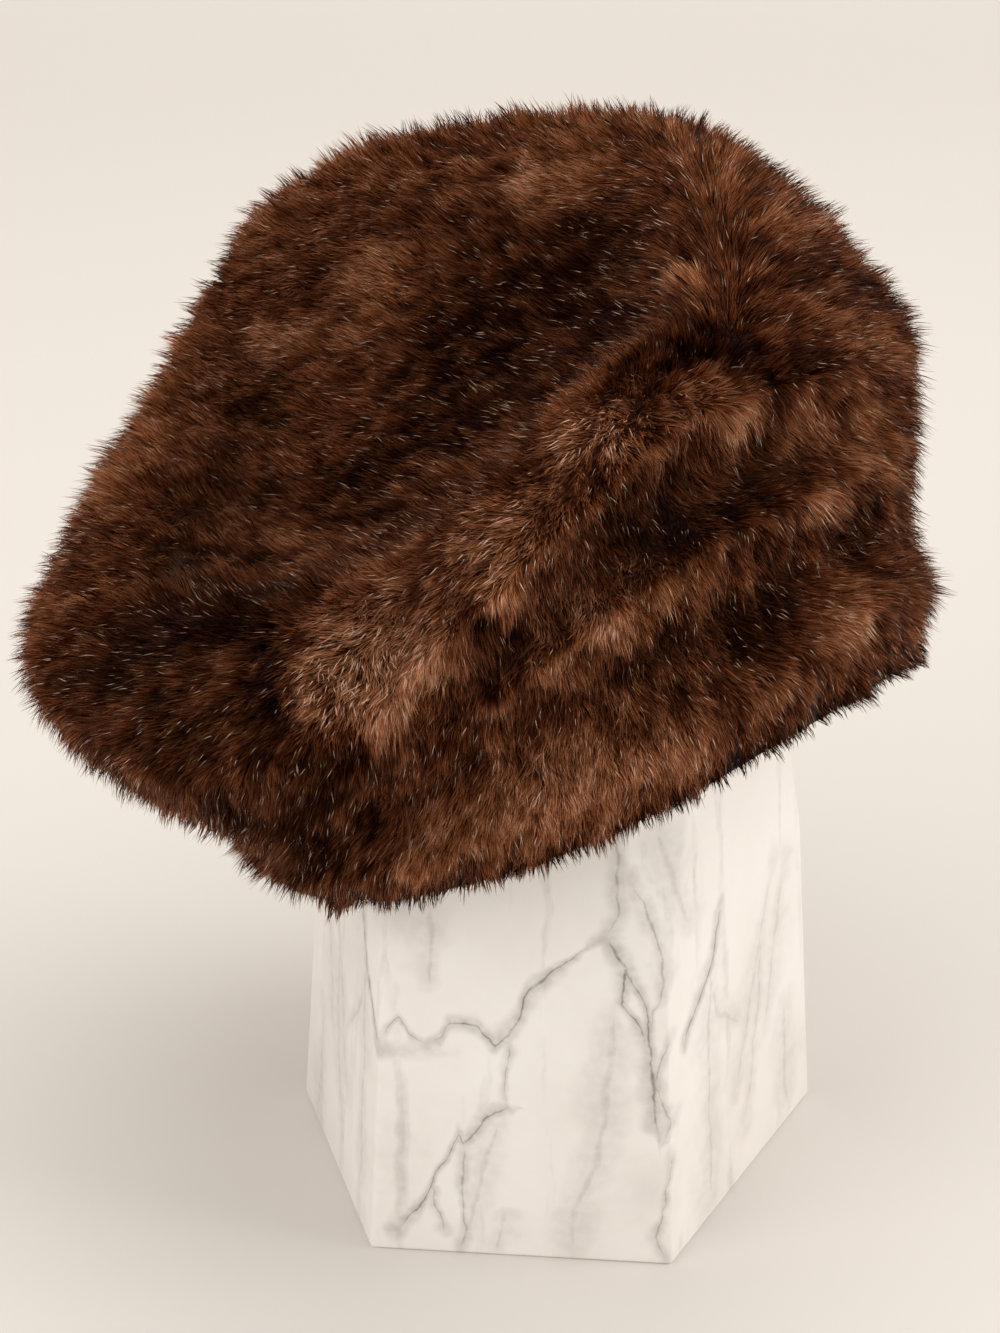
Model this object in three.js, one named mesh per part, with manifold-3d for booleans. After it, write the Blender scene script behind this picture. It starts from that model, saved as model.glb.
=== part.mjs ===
// A mink fur beret, hung a little askew over a five-sided marble display block.
// Millimetres, +Z up, origin in the middle of the block's foot, front of the hat towards -Y.
// The beret is a thin pelt leather with deep fur on it: a tall soft crown sewn to a fur band.

import * as THREE from 'three';
import { mergeVertices } from 'three/addons/utils/BufferGeometryUtils.js';
import { ConvexGeometry } from 'three/addons/geometries/ConvexGeometry.js';
import Module from 'manifold-3d';

const wasm = await Module();
wasm.setup();

// Marble block: it narrows upwards, and a facet opens upwards from each of its standing edges
const BLOCK_HEIGHT = 220.5;
const BLOCK_TAPER = 0.075;      // how far a corner moves inwards for each millimetre up
const BLOCK_CORNERS = [
  { x: -60.5, y: -64.8, facetFrom: 84, facetTop: 15 },
  { x: 38.2, y: -73.4, facetFrom: 100, facetTop: 19 },
  { x: 91.7, y: 21.7, facetFrom: 110, facetTop: 13 },
  { x: 4.0, y: 90.0, facetFrom: 95, facetTop: 15 },
  { x: -87.2, y: 23.4, facetFrom: 110, facetTop: 12 },
];

// How the hat sits: its own frame has the middle of the band's lower edge as origin
const HAT_PLACE = { x: 7, y: 0, z: 170 };
const HAT_LEAN_BACK = 6.1;      // degrees, the front of the band rides up
const HAT_LEAN_LEFT = 23.4;     // degrees, the heavy side hangs down on the left
const HAT_TURN = 9.5;           // degrees about its own axis

// Pelt and fur
const LEATHER = 2.5;            // thickness of the pelt leather and its lining cloth
const LEATHER_SHARE = 0.5;      // the leather follows the fur's folds only half as deep
const GAP = 1.0;                // between fur backing and leather
const BAND_SKIN_RADIUS = 102;   // outside of the band's leather, easy round a 60 cm head
const BAND_EDGE = 7;            // the fur reaches this far below the band's leather
const CROWN_MIDDLE = 99;        // height of the dished middle of the crown
const SEAM_GAP = 0.8;           // crown and band each stop this far from the line of the seam

// The fur's outside, a row for each section through the hat's axis. at: degrees round from the
// right-hand side, 90 at the back, 180 left, 270 front. The rest are radii and heights, from the
// dished top over the crest and the widest rim, in under the rim at the tuck, out over the slack
// fold, in to the seam, and out over the band's roll to its hem.
const SECTIONS = [
  { at: 0, dish: [58, 118], crest: [104, 140], rim: [143, 76], tuck: [138, 46],
    fold: [128, 24], seam: [114, 6], roll: [120, -12], hem: [106, -32] },
  { at: 30, dish: [60, 128], crest: [108, 158], rim: [145, 100], tuck: [142, 62],
    fold: [130, 32], seam: [112, 10], roll: [119, -10], hem: [106, -30] },
  { at: 60, dish: [62, 142], crest: [107, 171], rim: [145, 118], tuck: [143, 74],
    fold: [131, 38], seam: [108, 12], roll: [118, -8], hem: [106, -30] },
  { at: 90, dish: [62, 142], crest: [105, 177], rim: [146, 124], tuck: [144, 78],
    fold: [132, 40], seam: [106, 14], roll: [118, -6], hem: [106, -28] },
  { at: 120, dish: [62, 129], crest: [107, 161], rim: [147, 112], tuck: [145, 72],
    fold: [132, 38], seam: [106, 16], roll: [118, -4], hem: [106, -22] },
  { at: 150, dish: [62, 108], crest: [108, 133], rim: [149, 93], tuck: [146, 62],
    fold: [132, 36], seam: [106, 18], roll: [118, 0], hem: [106, -15] },
  { at: 180, dish: [60, 92], crest: [109, 110], rim: [151, 88], tuck: [148, 58],
    fold: [132, 34], seam: [106, 20], roll: [118, 5], hem: [106, -6] },
  { at: 210, dish: [58, 88], crest: [108, 98], rim: [149, 72], tuck: [142, 46],
    fold: [128, 32], seam: [106, 24], roll: [118, 8], hem: [106, -8] },
  { at: 240, dish: [56, 90], crest: [104, 96], rim: [134, 66], tuck: [128, 50],
    fold: [122, 42], seam: [106, 34], roll: [118, 14], hem: [106, -5] },
  { at: 270, dish: [56, 96], crest: [98, 108], rim: [124, 90], tuck: [114, 72],
    fold: [118, 58], seam: [104, 45], roll: [117, 20], hem: [106, -3] },
  { at: 300, dish: [56, 104], crest: [96, 122], rim: [120, 104], tuck: [111, 82],
    fold: [117, 64], seam: [104, 47], roll: [117, 20], hem: [106, -4] },
  { at: 330, dish: [56, 110], crest: [100, 122], rim: [130, 90], tuck: [120, 66],
    fold: [119, 50], seam: [105, 32], roll: [117, 14], hem: [106, -15] },
];
const CROWN_RINGS = ['dish', 'crest', 'rim', 'tuck', 'fold', 'seam'];
const BAND_RINGS = ['seam', 'roll', 'hem'];

// The leather under the fur of the crown, ring by ring: how deep it lies, and which way that is
// in the section, as shares outwards and upwards
const LEATHER_RINGS = [
  { ring: 'middle', fur: 13, out: 0, up: -1 },
  { ring: 'dish', fur: 13, out: 0.2, up: -0.98 },
  { ring: 'crest', fur: 13, out: -0.5, up: -0.87 },
  { ring: 'rim', fur: 14, out: -1, up: -0.1 },
  { ring: 'tuck', fur: 12, out: -1, up: 0.1 },
  { ring: 'fold', fur: 11, out: -0.95, up: 0.3 },
];

// Local folds and dents of the soft crown. at and ring give the middle (ring 1 is the dish, 2 the
// crest, 3 the rim and so on), width is in degrees, span in rings, rise is outwards in millimetres.
const FOLDS = [
  { name: 'valley across the top to the left', at: 190, ring: 2.0, width: 16, span: 1.1, rise: -11 },
  { name: 'hair whorl', at: 333, ring: 1.9, width: 12, span: 0.5, rise: -6 },
  { name: 'front left pucker', at: 236, ring: 2.6, width: 9, span: 0.8, rise: 5 },
  { name: 'dent right of the pucker', at: 254, ring: 2.9, width: 8, span: 0.9, rise: -6 },
  { name: 'front tuft ridge', at: 292, ring: 2.5, width: 10, span: 0.7, rise: 4 },
  { name: 'hollow under the whorl', at: 316, ring: 3.4, width: 11, span: 0.9, rise: -5 },
];

// Where the hair starts to run outwards from, in the hat's frame
const WHORL = { x: 102, y: -50, z: 112 };
const WHORL_CLEAR = 22;         // no lock is rooted this near to it

// Locks of fur standing out of the dense fur
const LOCK = { length: 30, width: 17, thick: 6, sunk: 2.5, lift: 11 };
const CROWN_LOCK_ROWS = [
  { ring: 0.45, count: 8 }, { ring: 0.95, count: 14 }, { ring: 1.45, count: 18 },
  { ring: 1.9, count: 22 }, { ring: 2.3, count: 24 }, { ring: 2.7, count: 26 },
  { ring: 3.15, count: 26 }, { ring: 3.75, count: 26 }, { ring: 4.4, count: 24 },
];
const BAND_LOCK_ROWS = [{ ring: 0.45, count: 24 }, { ring: 1.15, count: 24 }];
const FUR_STAND = 3;            // the crown's backing lies this far under its outer form

const ROUND = 32;               // sections round the hat in the meshes
const CROWN_STEPS = 13;         // steps from the middle of the crown to its seam
const LINING_STEPS = 8;         // steps of the leather, which shows less
const BAND_STEPS = 5;
const SKIRT = 40;               // reach of a cut below the crown's open edge

const rad = THREE.MathUtils.degToRad;
const randomFrom = (seed) => {
  let state = seed;
  return () => {
    state = (state * 16807) % 2147483647;
    return state / 2147483647;
  };
};

// A closed geometry as a solid, and back
function toSolid(geometry) {
  geometry.deleteAttribute('normal');
  geometry.deleteAttribute('uv');
  const merged = mergeVertices(geometry, 1e-4);
  return new wasm.Manifold(new wasm.Mesh({
    numProp: 3,
    vertProperties: new Float32Array(merged.attributes.position.array),
    triVerts: new Uint32Array(merged.index.array),
  }));
}

function toGeometry(solid) {
  const mesh = solid.getMesh();
  const geometry = new THREE.BufferGeometry();
  geometry.setAttribute('position', new THREE.BufferAttribute(mesh.vertProperties, 3));
  geometry.setIndex(new THREE.BufferAttribute(mesh.triVerts, 1));
  geometry.computeVertexNormals();
  return geometry;
}

// Smooth curve through four values, at share f of the way from b to c
function blend(a, b, c, d, f) {
  return b + 0.5 * f * (c - a + f * (2 * a - 5 * b + 4 * c - d + f * (3 * (b - c) + d - a)));
}

// The [radius, height] of one named ring at any angle round the hat
function ringAt(name, degrees) {
  const step = 360 / SECTIONS.length;
  const place = (((degrees % 360) + 360) % 360) / step;
  const i = Math.floor(place);
  const pick = (k) => SECTIONS[(i + k + SECTIONS.length) % SECTIONS.length][name];
  return [0, 1].map((j) => blend(pick(-1)[j], pick(0)[j], pick(1)[j], pick(2)[j], place - i));
}

// A point [radius, height] along a list of rings; at the middle of the crown the curve runs on
// into the opposite side, so that the top is smooth there
function alongRings(points, before, place) {
  const i = Math.min(Math.floor(place), points.length - 2);
  const f = place - i;
  const b = points[i];
  const c = points[i + 1];
  const a = i > 0 ? points[i - 1] : before;
  const d = points[i + 2] ?? [2 * c[0] - b[0], 2 * c[1] - b[1]];
  return [0, 1].map((j) => blend(a[j], b[j], c[j], d[j], f));
}

function inSection(degrees, [radius, height]) {
  const angle = rad(degrees);
  return new THREE.Vector3(radius * Math.cos(angle), radius * Math.sin(angle), height);
}

function crownPoint(degrees, place) {
  const rings = CROWN_RINGS.map((name) => ringAt(name, degrees));
  const [r, z] = ringAt('dish', degrees + 180);
  return inSection(degrees, alongRings([[0, CROWN_MIDDLE], ...rings], [-r, z], place));
}

// A point of the crown's leather, or of its lining where inset is the leather's thickness
function leatherPoint(degrees, place, inset) {
  const rings = [[0, CROWN_MIDDLE], ...CROWN_RINGS.map((name) => ringAt(name, degrees))];
  const [rim, seam] = [rings[3], rings[6]];
  const points = LEATHER_RINGS.map(({ fur, out, up }, k) => {
    const straight = rim.map((from, j) => THREE.MathUtils.lerp(from, seam[j], (k - 3) / 3));
    const slack = k > 3 ? LEATHER_SHARE : 1;
    const [r, z] = rings[k].map((value, j) => THREE.MathUtils.lerp(straight[j], value, slack));
    const depth = fur + inset - LEATHER_SHARE * foldRise(degrees, k);
    return [r + out * depth, z + up * depth];
  });
  points.push([BAND_SKIN_RADIUS - inset, seam[1] + SEAM_GAP]);
  const before = [-points[1][0], points[1][1]];
  return inSection(degrees, alongRings(points, before, place));
}

function bandPoint(degrees, place) {
  const rings = BAND_RINGS.map((name) => ringAt(name, degrees));
  const before = [rings[0][0] - 8, rings[0][1] + 2];
  return inSection(degrees, alongRings(rings, before, place));
}

function normalOf(point, degrees, place, last) {
  const near = Math.max(place - 0.04, 0.02);
  const far = Math.min(place + 0.04, last);
  const along = point(degrees, far).sub(point(degrees, near));
  const at = Math.max(place, 0.04);
  const round = point(degrees + 1, at).sub(point(degrees - 1, at));
  return round.cross(along).negate().normalize();
}

function foldRise(degrees, place) {
  return FOLDS.reduce((sum, { at, ring, width, span, rise }) => {
    const turn = ((degrees - at + 540) % 360) - 180;
    return sum + rise * Math.exp(-((turn / width) ** 2) - ((place - ring) / span) ** 2);
  }, 0);
}

const CROWN_LAST = CROWN_RINGS.length;
const BAND_LAST = BAND_RINGS.length - 1;

// The outside of the crown's fur with its folds, moved inwards by some depth
function furPoint(degrees, place, depth) {
  const normal = normalOf(crownPoint, degrees, place, CROWN_LAST);
  const point = crownPoint(degrees, place);
  point.addScaledVector(normal, foldRise(degrees, place) - depth);
  if (place >= CROWN_LAST) point.z = ringAt('seam', degrees)[1] + SEAM_GAP;
  return point;
}

// A filled dome under a grid of points whose rows run from the middle of the crown to its open
// edge; skirt carries the edge straight down, so that one dome cuts another right through
function dome(rows, skirt) {
  const edge = rows[rows.length - 1];
  const low = edge.map((p) => new THREE.Vector3(p.x, p.y, p.z - skirt));
  const rings = skirt > 0 ? [...rows.slice(1), low] : rows.slice(1);
  const depth = Math.min(...low.map((p) => p.z));
  const position = [rows[0][0], ...rings.flat(), new THREE.Vector3(0, 0, depth)]
    .flatMap((p) => p.toArray());
  const at = (i, j) => 1 + i * ROUND + (j % ROUND);
  const bottom = 1 + rings.length * ROUND;
  const index = [];
  for (let j = 0; j < ROUND; j += 1) {
    index.push(0, at(0, j), at(0, j + 1));
    for (let i = 0; i < rings.length - 1; i += 1) {
      index.push(at(i, j), at(i + 1, j), at(i + 1, j + 1));
      index.push(at(i, j), at(i + 1, j + 1), at(i, j + 1));
    }
    index.push(at(rings.length - 1, j), bottom, at(rings.length - 1, j + 1));
  }
  return toSolid(closedGeometry(position, index));
}

// A closed ring from one closed section of points at each angle, in order round the section
function ringWall(sections) {
  const size = sections[0].length;
  const position = sections.flat().flatMap((p) => p.toArray());
  const index = [];
  const at = (j, i) => (j % ROUND) * size + (i % size);
  for (let j = 0; j < ROUND; j += 1) {
    for (let i = 0; i < size; i += 1) {
      index.push(at(j, i), at(j, i + 1), at(j + 1, i + 1));
      index.push(at(j, i), at(j + 1, i + 1), at(j + 1, i));
    }
  }
  return closedGeometry(position, index);
}

function closedGeometry(position, index) {
  const geometry = new THREE.BufferGeometry();
  geometry.setAttribute('position', new THREE.Float32BufferAttribute(position, 3));
  geometry.setIndex(index);
  return geometry;
}

const angles = Array.from({ length: ROUND }, (_, j) => (j * 360) / ROUND);
const sheet = (steps, point) => Array.from({ length: steps + 1 }, (_, i) => {
  const place = (i / steps) * CROWN_LAST;
  return angles.map((degrees) => point(degrees, place));
});

const leatherDome = (inset, skirt) => dome(
  sheet(LINING_STEPS, (degrees, place) => leatherPoint(degrees, place, inset)), skirt);

function crownShell() {
  return toGeometry(leatherDome(0, 0).subtract(leatherDome(LEATHER, SKIRT)));
}

const bandSkin = (degrees, height, inset) => (
  inSection(degrees, [BAND_SKIN_RADIUS - inset, height]));

function bandShell() {
  return ringWall(angles.map((degrees) => {
    const top = ringAt('seam', degrees)[1] - SEAM_GAP;
    const low = ringAt('hem', degrees)[1] + BAND_EDGE;
    return [
      bandSkin(degrees, top, 0), bandSkin(degrees, (top + low) / 2, 0), bandSkin(degrees, low, 0),
      bandSkin(degrees, low, LEATHER), bandSkin(degrees, (top + low) / 2, LEATHER),
      bandSkin(degrees, top, LEATHER),
    ];
  }));
}

const WHORL_POINT = new THREE.Vector3(WHORL.x, WHORL.y, WHORL.z);

// Which way the hair lies at a point: away from the whorl over the top, more and more down
// towards the hem on the sides
function hairFlow(point, normal) {
  const away = point.clone().sub(WHORL_POINT).normalize();
  const down = new THREE.Vector3(0, 0, -1);
  const share = THREE.MathUtils.smoothstep(Math.hypot(normal.x, normal.y), 0.55, 1);
  away.addScaledVector(down, 0.25 + 1.1 * share);
  return away.addScaledVector(normal, -away.dot(normal)).normalize();
}

// One lock: a bent, pointed, three-sided tuft rooted in the fur
function lock(point, normal, flow, scale) {
  const side = new THREE.Vector3().crossVectors(flow, normal);
  const lift = rad(LOCK.lift);
  const out = (along, up) => point.clone()
    .addScaledVector(flow, along * scale).addScaledVector(normal, up * scale);
  const ring = (centre, width, thick, tip) => {
    const thin = new THREE.Vector3().addScaledVector(normal, Math.cos(tip))
      .addScaledVector(flow, -Math.sin(tip));
    return [
      centre.clone().addScaledVector(side, width), centre.clone().addScaledVector(thin, thick),
      centre.clone().addScaledVector(side, -width),
    ];
  };
  const w = (LOCK.width / 2) * scale;
  const t = (LOCK.thick / 2) * scale;
  const root = ring(out(-LOCK.length * 0.35, -2 * LOCK.sunk), w * 0.8, t * 0.8, lift);
  const middle = ring(out(0, -LOCK.sunk / 2), w, t, lift);
  const tip = out(LOCK.length * 0.6 * Math.cos(lift), LOCK.length * 0.6 * Math.sin(lift));
  const position = [...root, ...middle, tip].flatMap((p) => p.toArray());
  const index = [0, 1, 2];
  for (let k = 0; k < 3; k += 1) {
    const n = (k + 1) % 3;
    index.push(n, k, 3 + n, 3 + n, k, 3 + k, 3 + n, 3 + k, 6);
  }
  return toSolid(closedGeometry(position, index));
}

function locksOn(rows, surface, seed, size) {
  const random = randomFrom(seed);
  const locks = [];
  rows.forEach(({ ring, count }, row) => {
    for (let k = 0; k < count; k += 1) {
      const degrees = ((k + 0.5 * (row % 2) + 0.3 * (random() - 0.5)) * 360) / count;
      const place = ring + 0.12 * (random() - 0.5);
      const { point, normal } = surface(degrees, place);
      if (point.distanceTo(WHORL_POINT) < WHORL_CLEAR) continue;
      const scale = size(degrees, place) * (0.85 + 0.3 * random());
      locks.push(lock(point, normal, hairFlow(point, normal), scale));
    }
  });
  return locks;
}

function crownFur() {
  const outer = sheet(CROWN_STEPS, (degrees, place) => (
    furPoint(degrees, place, place < CROWN_LAST - 0.5 ? FUR_STAND : 0)));
  const surface = (degrees, place) => ({
    point: furPoint(degrees, place, FUR_STAND),
    normal: normalOf(crownPoint, degrees, place, CROWN_LAST),
  });
  const locks = locksOn(CROWN_LOCK_ROWS, surface, 11, (degrees, place) => (place > 4 ? 0.65 : 1));
  return toGeometry(wasm.Manifold.union([dome(outer, 0), ...locks])
    .subtract(leatherDome(-GAP, SKIRT)));
}

function bandFur() {
  const sections = angles.map((degrees) => {
    const outer = Array.from({ length: BAND_STEPS + 1 },
      (_, i) => bandPoint(degrees, (i / BAND_STEPS) * BAND_LAST));
    outer[0].z -= SEAM_GAP;
    const inner = [outer[BAND_STEPS], outer[0]].map(({ z }) => bandSkin(degrees, z, 2 * LEATHER));
    return [...outer, ...inner];
  });
  const surface = (degrees, place) => ({
    point: bandPoint(degrees, place),
    normal: normalOf(bandPoint, degrees, place, BAND_LAST),
  });
  const locks = locksOn(BAND_LOCK_ROWS, surface, 23, () => 0.7);
  const radius = BAND_SKIN_RADIUS + GAP;
  const head = new THREE.CylinderGeometry(radius, radius, 4 * BAND_SKIN_RADIUS, ROUND)
    .rotateX(Math.PI / 2);
  return toGeometry(wasm.Manifold.union([toSolid(ringWall(sections)), ...locks])
    .subtract(toSolid(head)));
}

function marbleBlock() {
  const corner = ({ x, y }, z) => new THREE.Vector3(x, y, z)
    .addScaledVector(new THREE.Vector3(x, y, 0).normalize(), -BLOCK_TAPER * z);
  const points = [];
  BLOCK_CORNERS.forEach((here, k) => {
    const before = BLOCK_CORNERS.at(k - 1);
    const after = BLOCK_CORNERS[(k + 1) % BLOCK_CORNERS.length];
    const top = corner(here, BLOCK_HEIGHT);
    points.push(corner(here, 0), corner(here, here.facetFrom));
    [before, after].forEach((other) => {
      const way = corner(other, BLOCK_HEIGHT).sub(top).normalize();
      points.push(top.clone().addScaledVector(way, here.facetTop * 1.6));
    });
  });
  return toGeometry(toSolid(new ConvexGeometry(points)));
}

const named = (name, geometry, colour, roughness) => {
  const material = new THREE.MeshStandardMaterial({ color: colour, roughness, metalness: 0 });
  const mesh = new THREE.Mesh(geometry, material);
  mesh.name = name;
  return mesh;
};

const hat = new THREE.Group();
hat.position.set(HAT_PLACE.x, HAT_PLACE.y, HAT_PLACE.z);
hat.rotation.set(rad(-HAT_LEAN_BACK), rad(-HAT_LEAN_LEFT), rad(HAT_TURN), 'XYZ');
hat.add(named('crown_shell', crownShell(), 0x6b4a35, 0.8));
hat.add(named('crown_fur', crownFur(), 0x3d2216, 0.9));
hat.add(named('band_shell', bandShell(), 0x6b4a35, 0.8));
hat.add(named('band_fur', bandFur(), 0x3d2216, 0.9));

const beret = new THREE.Group();
beret.add(named('stand', marbleBlock(), 0xefebe6, 0.35));
beret.add(hat);

export default beret;
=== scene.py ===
"""Looks of a brown mink beret, hung askew on a marble display block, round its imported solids."""

import math

import bpy
import numpy as np
from mathutils import Euler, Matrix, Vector, kdtree


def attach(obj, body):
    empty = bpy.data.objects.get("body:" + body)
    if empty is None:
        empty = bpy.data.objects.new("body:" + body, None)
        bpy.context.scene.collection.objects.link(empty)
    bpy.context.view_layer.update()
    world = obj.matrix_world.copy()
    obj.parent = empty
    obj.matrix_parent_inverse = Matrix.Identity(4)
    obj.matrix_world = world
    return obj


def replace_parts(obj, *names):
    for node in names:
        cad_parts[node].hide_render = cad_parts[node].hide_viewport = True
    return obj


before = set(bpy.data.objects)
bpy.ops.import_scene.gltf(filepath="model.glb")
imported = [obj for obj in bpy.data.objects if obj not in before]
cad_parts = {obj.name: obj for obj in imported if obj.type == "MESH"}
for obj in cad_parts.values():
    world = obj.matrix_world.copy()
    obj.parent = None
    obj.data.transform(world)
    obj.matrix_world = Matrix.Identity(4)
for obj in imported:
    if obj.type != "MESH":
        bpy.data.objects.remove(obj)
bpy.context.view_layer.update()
scene = bpy.context.scene

# ---------------------------------------------------------------- camera, light and floor

CAMERA_PLACE = (-0.018, -0.8476, 0.6337)
LOOK_DOWN = math.radians(28)
FOCAL_SHARE = 3000 / 1333       # focal length over the frame's height

bpy.ops.object.select_all(action="DESELECT")
bpy.ops.object.camera_add(location=CAMERA_PLACE, rotation=(math.pi / 2 - LOOK_DOWN, 0, 0))
camera = bpy.context.object
camera.data.lens = camera.data.sensor_width * FOCAL_SHARE
scene.camera = camera
scene.view_settings.view_transform = "Standard"


def linear(hex_colour):
    """sRGB hex to the linear colour that a shader socket takes."""
    parts = [int(hex_colour[i:i + 2], 16) / 255 for i in (1, 3, 5)]
    return [c / 12.92 if c <= 0.04045 else ((c + 0.055) / 1.055) ** 2.4 for c in parts] + [1.0]


# Large soft boxes, all aimed at the hat: name, place, size in metres, power in watts
SOFTBOXES = [
    ("key_softbox", (2.6, -0.35, 1.3), 1.4, 23),
    ("fill_softbox", (-1.6, -1.1, 1.2), 1.4, 10),
    ("top_softbox", (0.0, 0.2, 1.8), 1.4, 9),
]
AIM = Vector((0, 0, 0.2))

for name, place, size, power in SOFTBOXES:
    bpy.ops.object.light_add(type="AREA", location=place)
    lamp = bpy.context.object
    lamp.name = name
    lamp.data.size = size
    lamp.data.energy = power
    lamp.data.color = linear("#fffdfa")[:3]
    lamp.rotation_euler = (AIM - Vector(place)).to_track_quat("-Z", "Y").to_euler()

world = bpy.data.worlds.new("studio_air")
scene.world = world
world.use_nodes = True
air = world.node_tree.nodes["Background"].inputs
air["Color"].default_value, air["Strength"].default_value = linear("#fffbf7"), 0.73


# ---------------------------------------------------------------- materials


def add(tree, kind, inputs=(), stops=(), **settings):
    """One node: its settings, its inputs as {socket: number, colour or (node, output)}, and the
    stops of its ramp as (place, colour)."""
    node = tree.nodes.new("ShaderNode" + kind)
    for key, value in settings.items():
        setattr(node, key, value)
    for socket, value in dict(inputs).items():
        if isinstance(value, tuple) and isinstance(value[0], bpy.types.Node):
            tree.links.new(value[0].outputs[value[1]], node.inputs[socket])
        else:
            node.inputs[socket].default_value = linear(value) if isinstance(value, str) else value
    for k, (place, colour) in enumerate(stops):
        element = node.color_ramp.elements[k] if k < 2 else node.color_ramp.elements.new(place)
        element.position, element.color = place, linear(colour)
    return node


def new_material(name, **principled):
    material = bpy.data.materials.new(name)
    material.use_nodes = True
    shader = material.node_tree.nodes["Principled BSDF"]
    for key, value in principled.items():
        shader.inputs[key.replace("_", " ")].default_value = value
    return material, material.node_tree, shader


def fur_hair(name, closed, opened, palest_and_glint, palest_share, **principled):
    """One kind of dyed mink hair. Its ramps run from root to tip: dark for hair in closed fur,
    light for hair in opened fur, and paler still in the very lightest tufts; the tone that mixes
    them also carries painted shade and light. On single hairs the last ramp is a painted glint, a
    highlight put into the base colour."""
    material, tree, shader = new_material(name, **principled)
    reach, tone, glint = (add(tree, "Attribute", attribute_name=n)
                          for n in ("reach", "tone", "glint"))
    dark, light, pale = (add(tree, "ValToRGB", {"Fac": (reach, "Fac")}, stops)
                         for stops in (closed, opened, palest_and_glint))
    body = add(tree, "Mix", {0: (tone, "Fac"), 6: (dark, "Color"), 7: (light, "Color")},
               data_type="RGBA")
    lightest = add(tree, "MapRange", {"Value": (tone, "Fac"), "From Min": 0.68, "From Max": 1.0,
                                      "To Min": 0.0, "To Max": palest_share})
    share = add(tree, "Math", {0: (glint, "Fac"), 1: (lightest, 0)}, operation="MAXIMUM")
    whole = add(tree, "Mix", {0: (share, 0), 6: (body, 2), 7: (pale, "Color")},
                data_type="RGBA")
    tree.links.new(whole.outputs[2], shader.inputs["Base Color"])
    return material


def down_hair():
    """Mink down: fine and unglazed, so it has little gloss and closed fur reads deep and warm."""
    return fur_hair("mink_down",
                    [(0.2, "#080100"), (0.6, "#1b0602"), (1.0, "#300d04")],
                    [(0.2, "#60280f"), (0.6, "#b86336"), (1.0, "#e69c6a")],
                    [(0.2, "#7a3e1e"), (0.6, "#da9866"), (1.0, "#ffd8b2")], 0.68,
                    Roughness=0.62, Specular_IOR_Level=0.2, Specular_Tint=linear("#a8553a"))


def guard_hair():
    """Mink guard hair, glazed: dark and glossy, and on some of them a painted glint, a short bright
    stretch in the base colour where the glaze would catch the light. The gloss takes the hair's own
    brown, as light that has gone through it."""
    return fur_hair("mink_guard_hair",
                    [(0.2, "#080100"), (0.6, "#180602"), (1.0, "#260b03")],
                    [(0.2, "#56240f"), (0.6, "#a25a33"), (1.0, "#d4966e")],
                    # painted glint: dark, then a short bright stretch, then brown to the tip
                    [(0.48, "#1c0702"), (0.6, "#eccfb4"), (0.7, "#eccfb4"), (0.84, "#5a3018")],
                    0.6, Roughness=0.4, Specular_IOR_Level=0.4,
                    Specular_Tint=linear("#a8553a"))


def under_wool():
    """Mink underfur: a matte dense wool, near black at low tone and brown at high tone; its tone
    follows the fur's, painted shade and light included. It curls into small tufts 2.4 mm across."""
    material, tree, shader = new_material("mink_underfur", Roughness=0.95)
    place = add(tree, "TexCoord")
    tone = add(tree, "Attribute", attribute_name="tone")
    tufts = add(tree, "TexNoise", {"Vector": (place, "Object"), "Scale": 420, "Detail": 4})
    closed = add(tree, "ValToRGB", {"Fac": (tufts, "Fac")}, [(0.35, "#0c0301"), (0.65, "#1e0a04")])
    opened = add(tree, "ValToRGB", {"Fac": (tufts, "Fac")}, [(0.35, "#3a1c0e"), (0.65, "#8a5636")])
    colour = add(tree, "Mix", {0: (tone, "Fac"), 6: (closed, "Color"), 7: (opened, "Color")},
                 data_type="RGBA")
    bump = add(tree, "Bump", {"Height": (tufts, "Fac"), "Strength": 0.8, "Distance": 0.002})
    tree.links.new(colour.outputs[2], shader.inputs["Base Color"])
    tree.links.new(bump.outputs["Normal"], shader.inputs["Normal"])
    return material


def suede():
    """The pelt's flesh side, tanned: a soft suede nap, cloudy over 14 mm, with a fine pebbled
    grain of 1.1 mm."""
    material, tree, shader = new_material("suede_leather", Roughness=0.88)
    place = add(tree, "TexCoord")
    nap = add(tree, "TexNoise", {"Vector": (place, "Object"), "Scale": 70, "Detail": 6})
    grain = add(tree, "TexVoronoi", {"Vector": (place, "Object"), "Scale": 900})
    colour = add(tree, "ValToRGB", {"Fac": (nap, "Fac")}, [(0.3, "#4a3124"), (0.7, "#6a4a37")])
    bump = add(tree, "Bump", {"Height": (grain, "Distance"), "Strength": 0.35,
                              "Distance": 0.0004})
    tree.links.new(colour.outputs["Color"], shader.inputs["Base Color"])
    tree.links.new(bump.outputs["Normal"], shader.inputs["Normal"])
    return material


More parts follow.
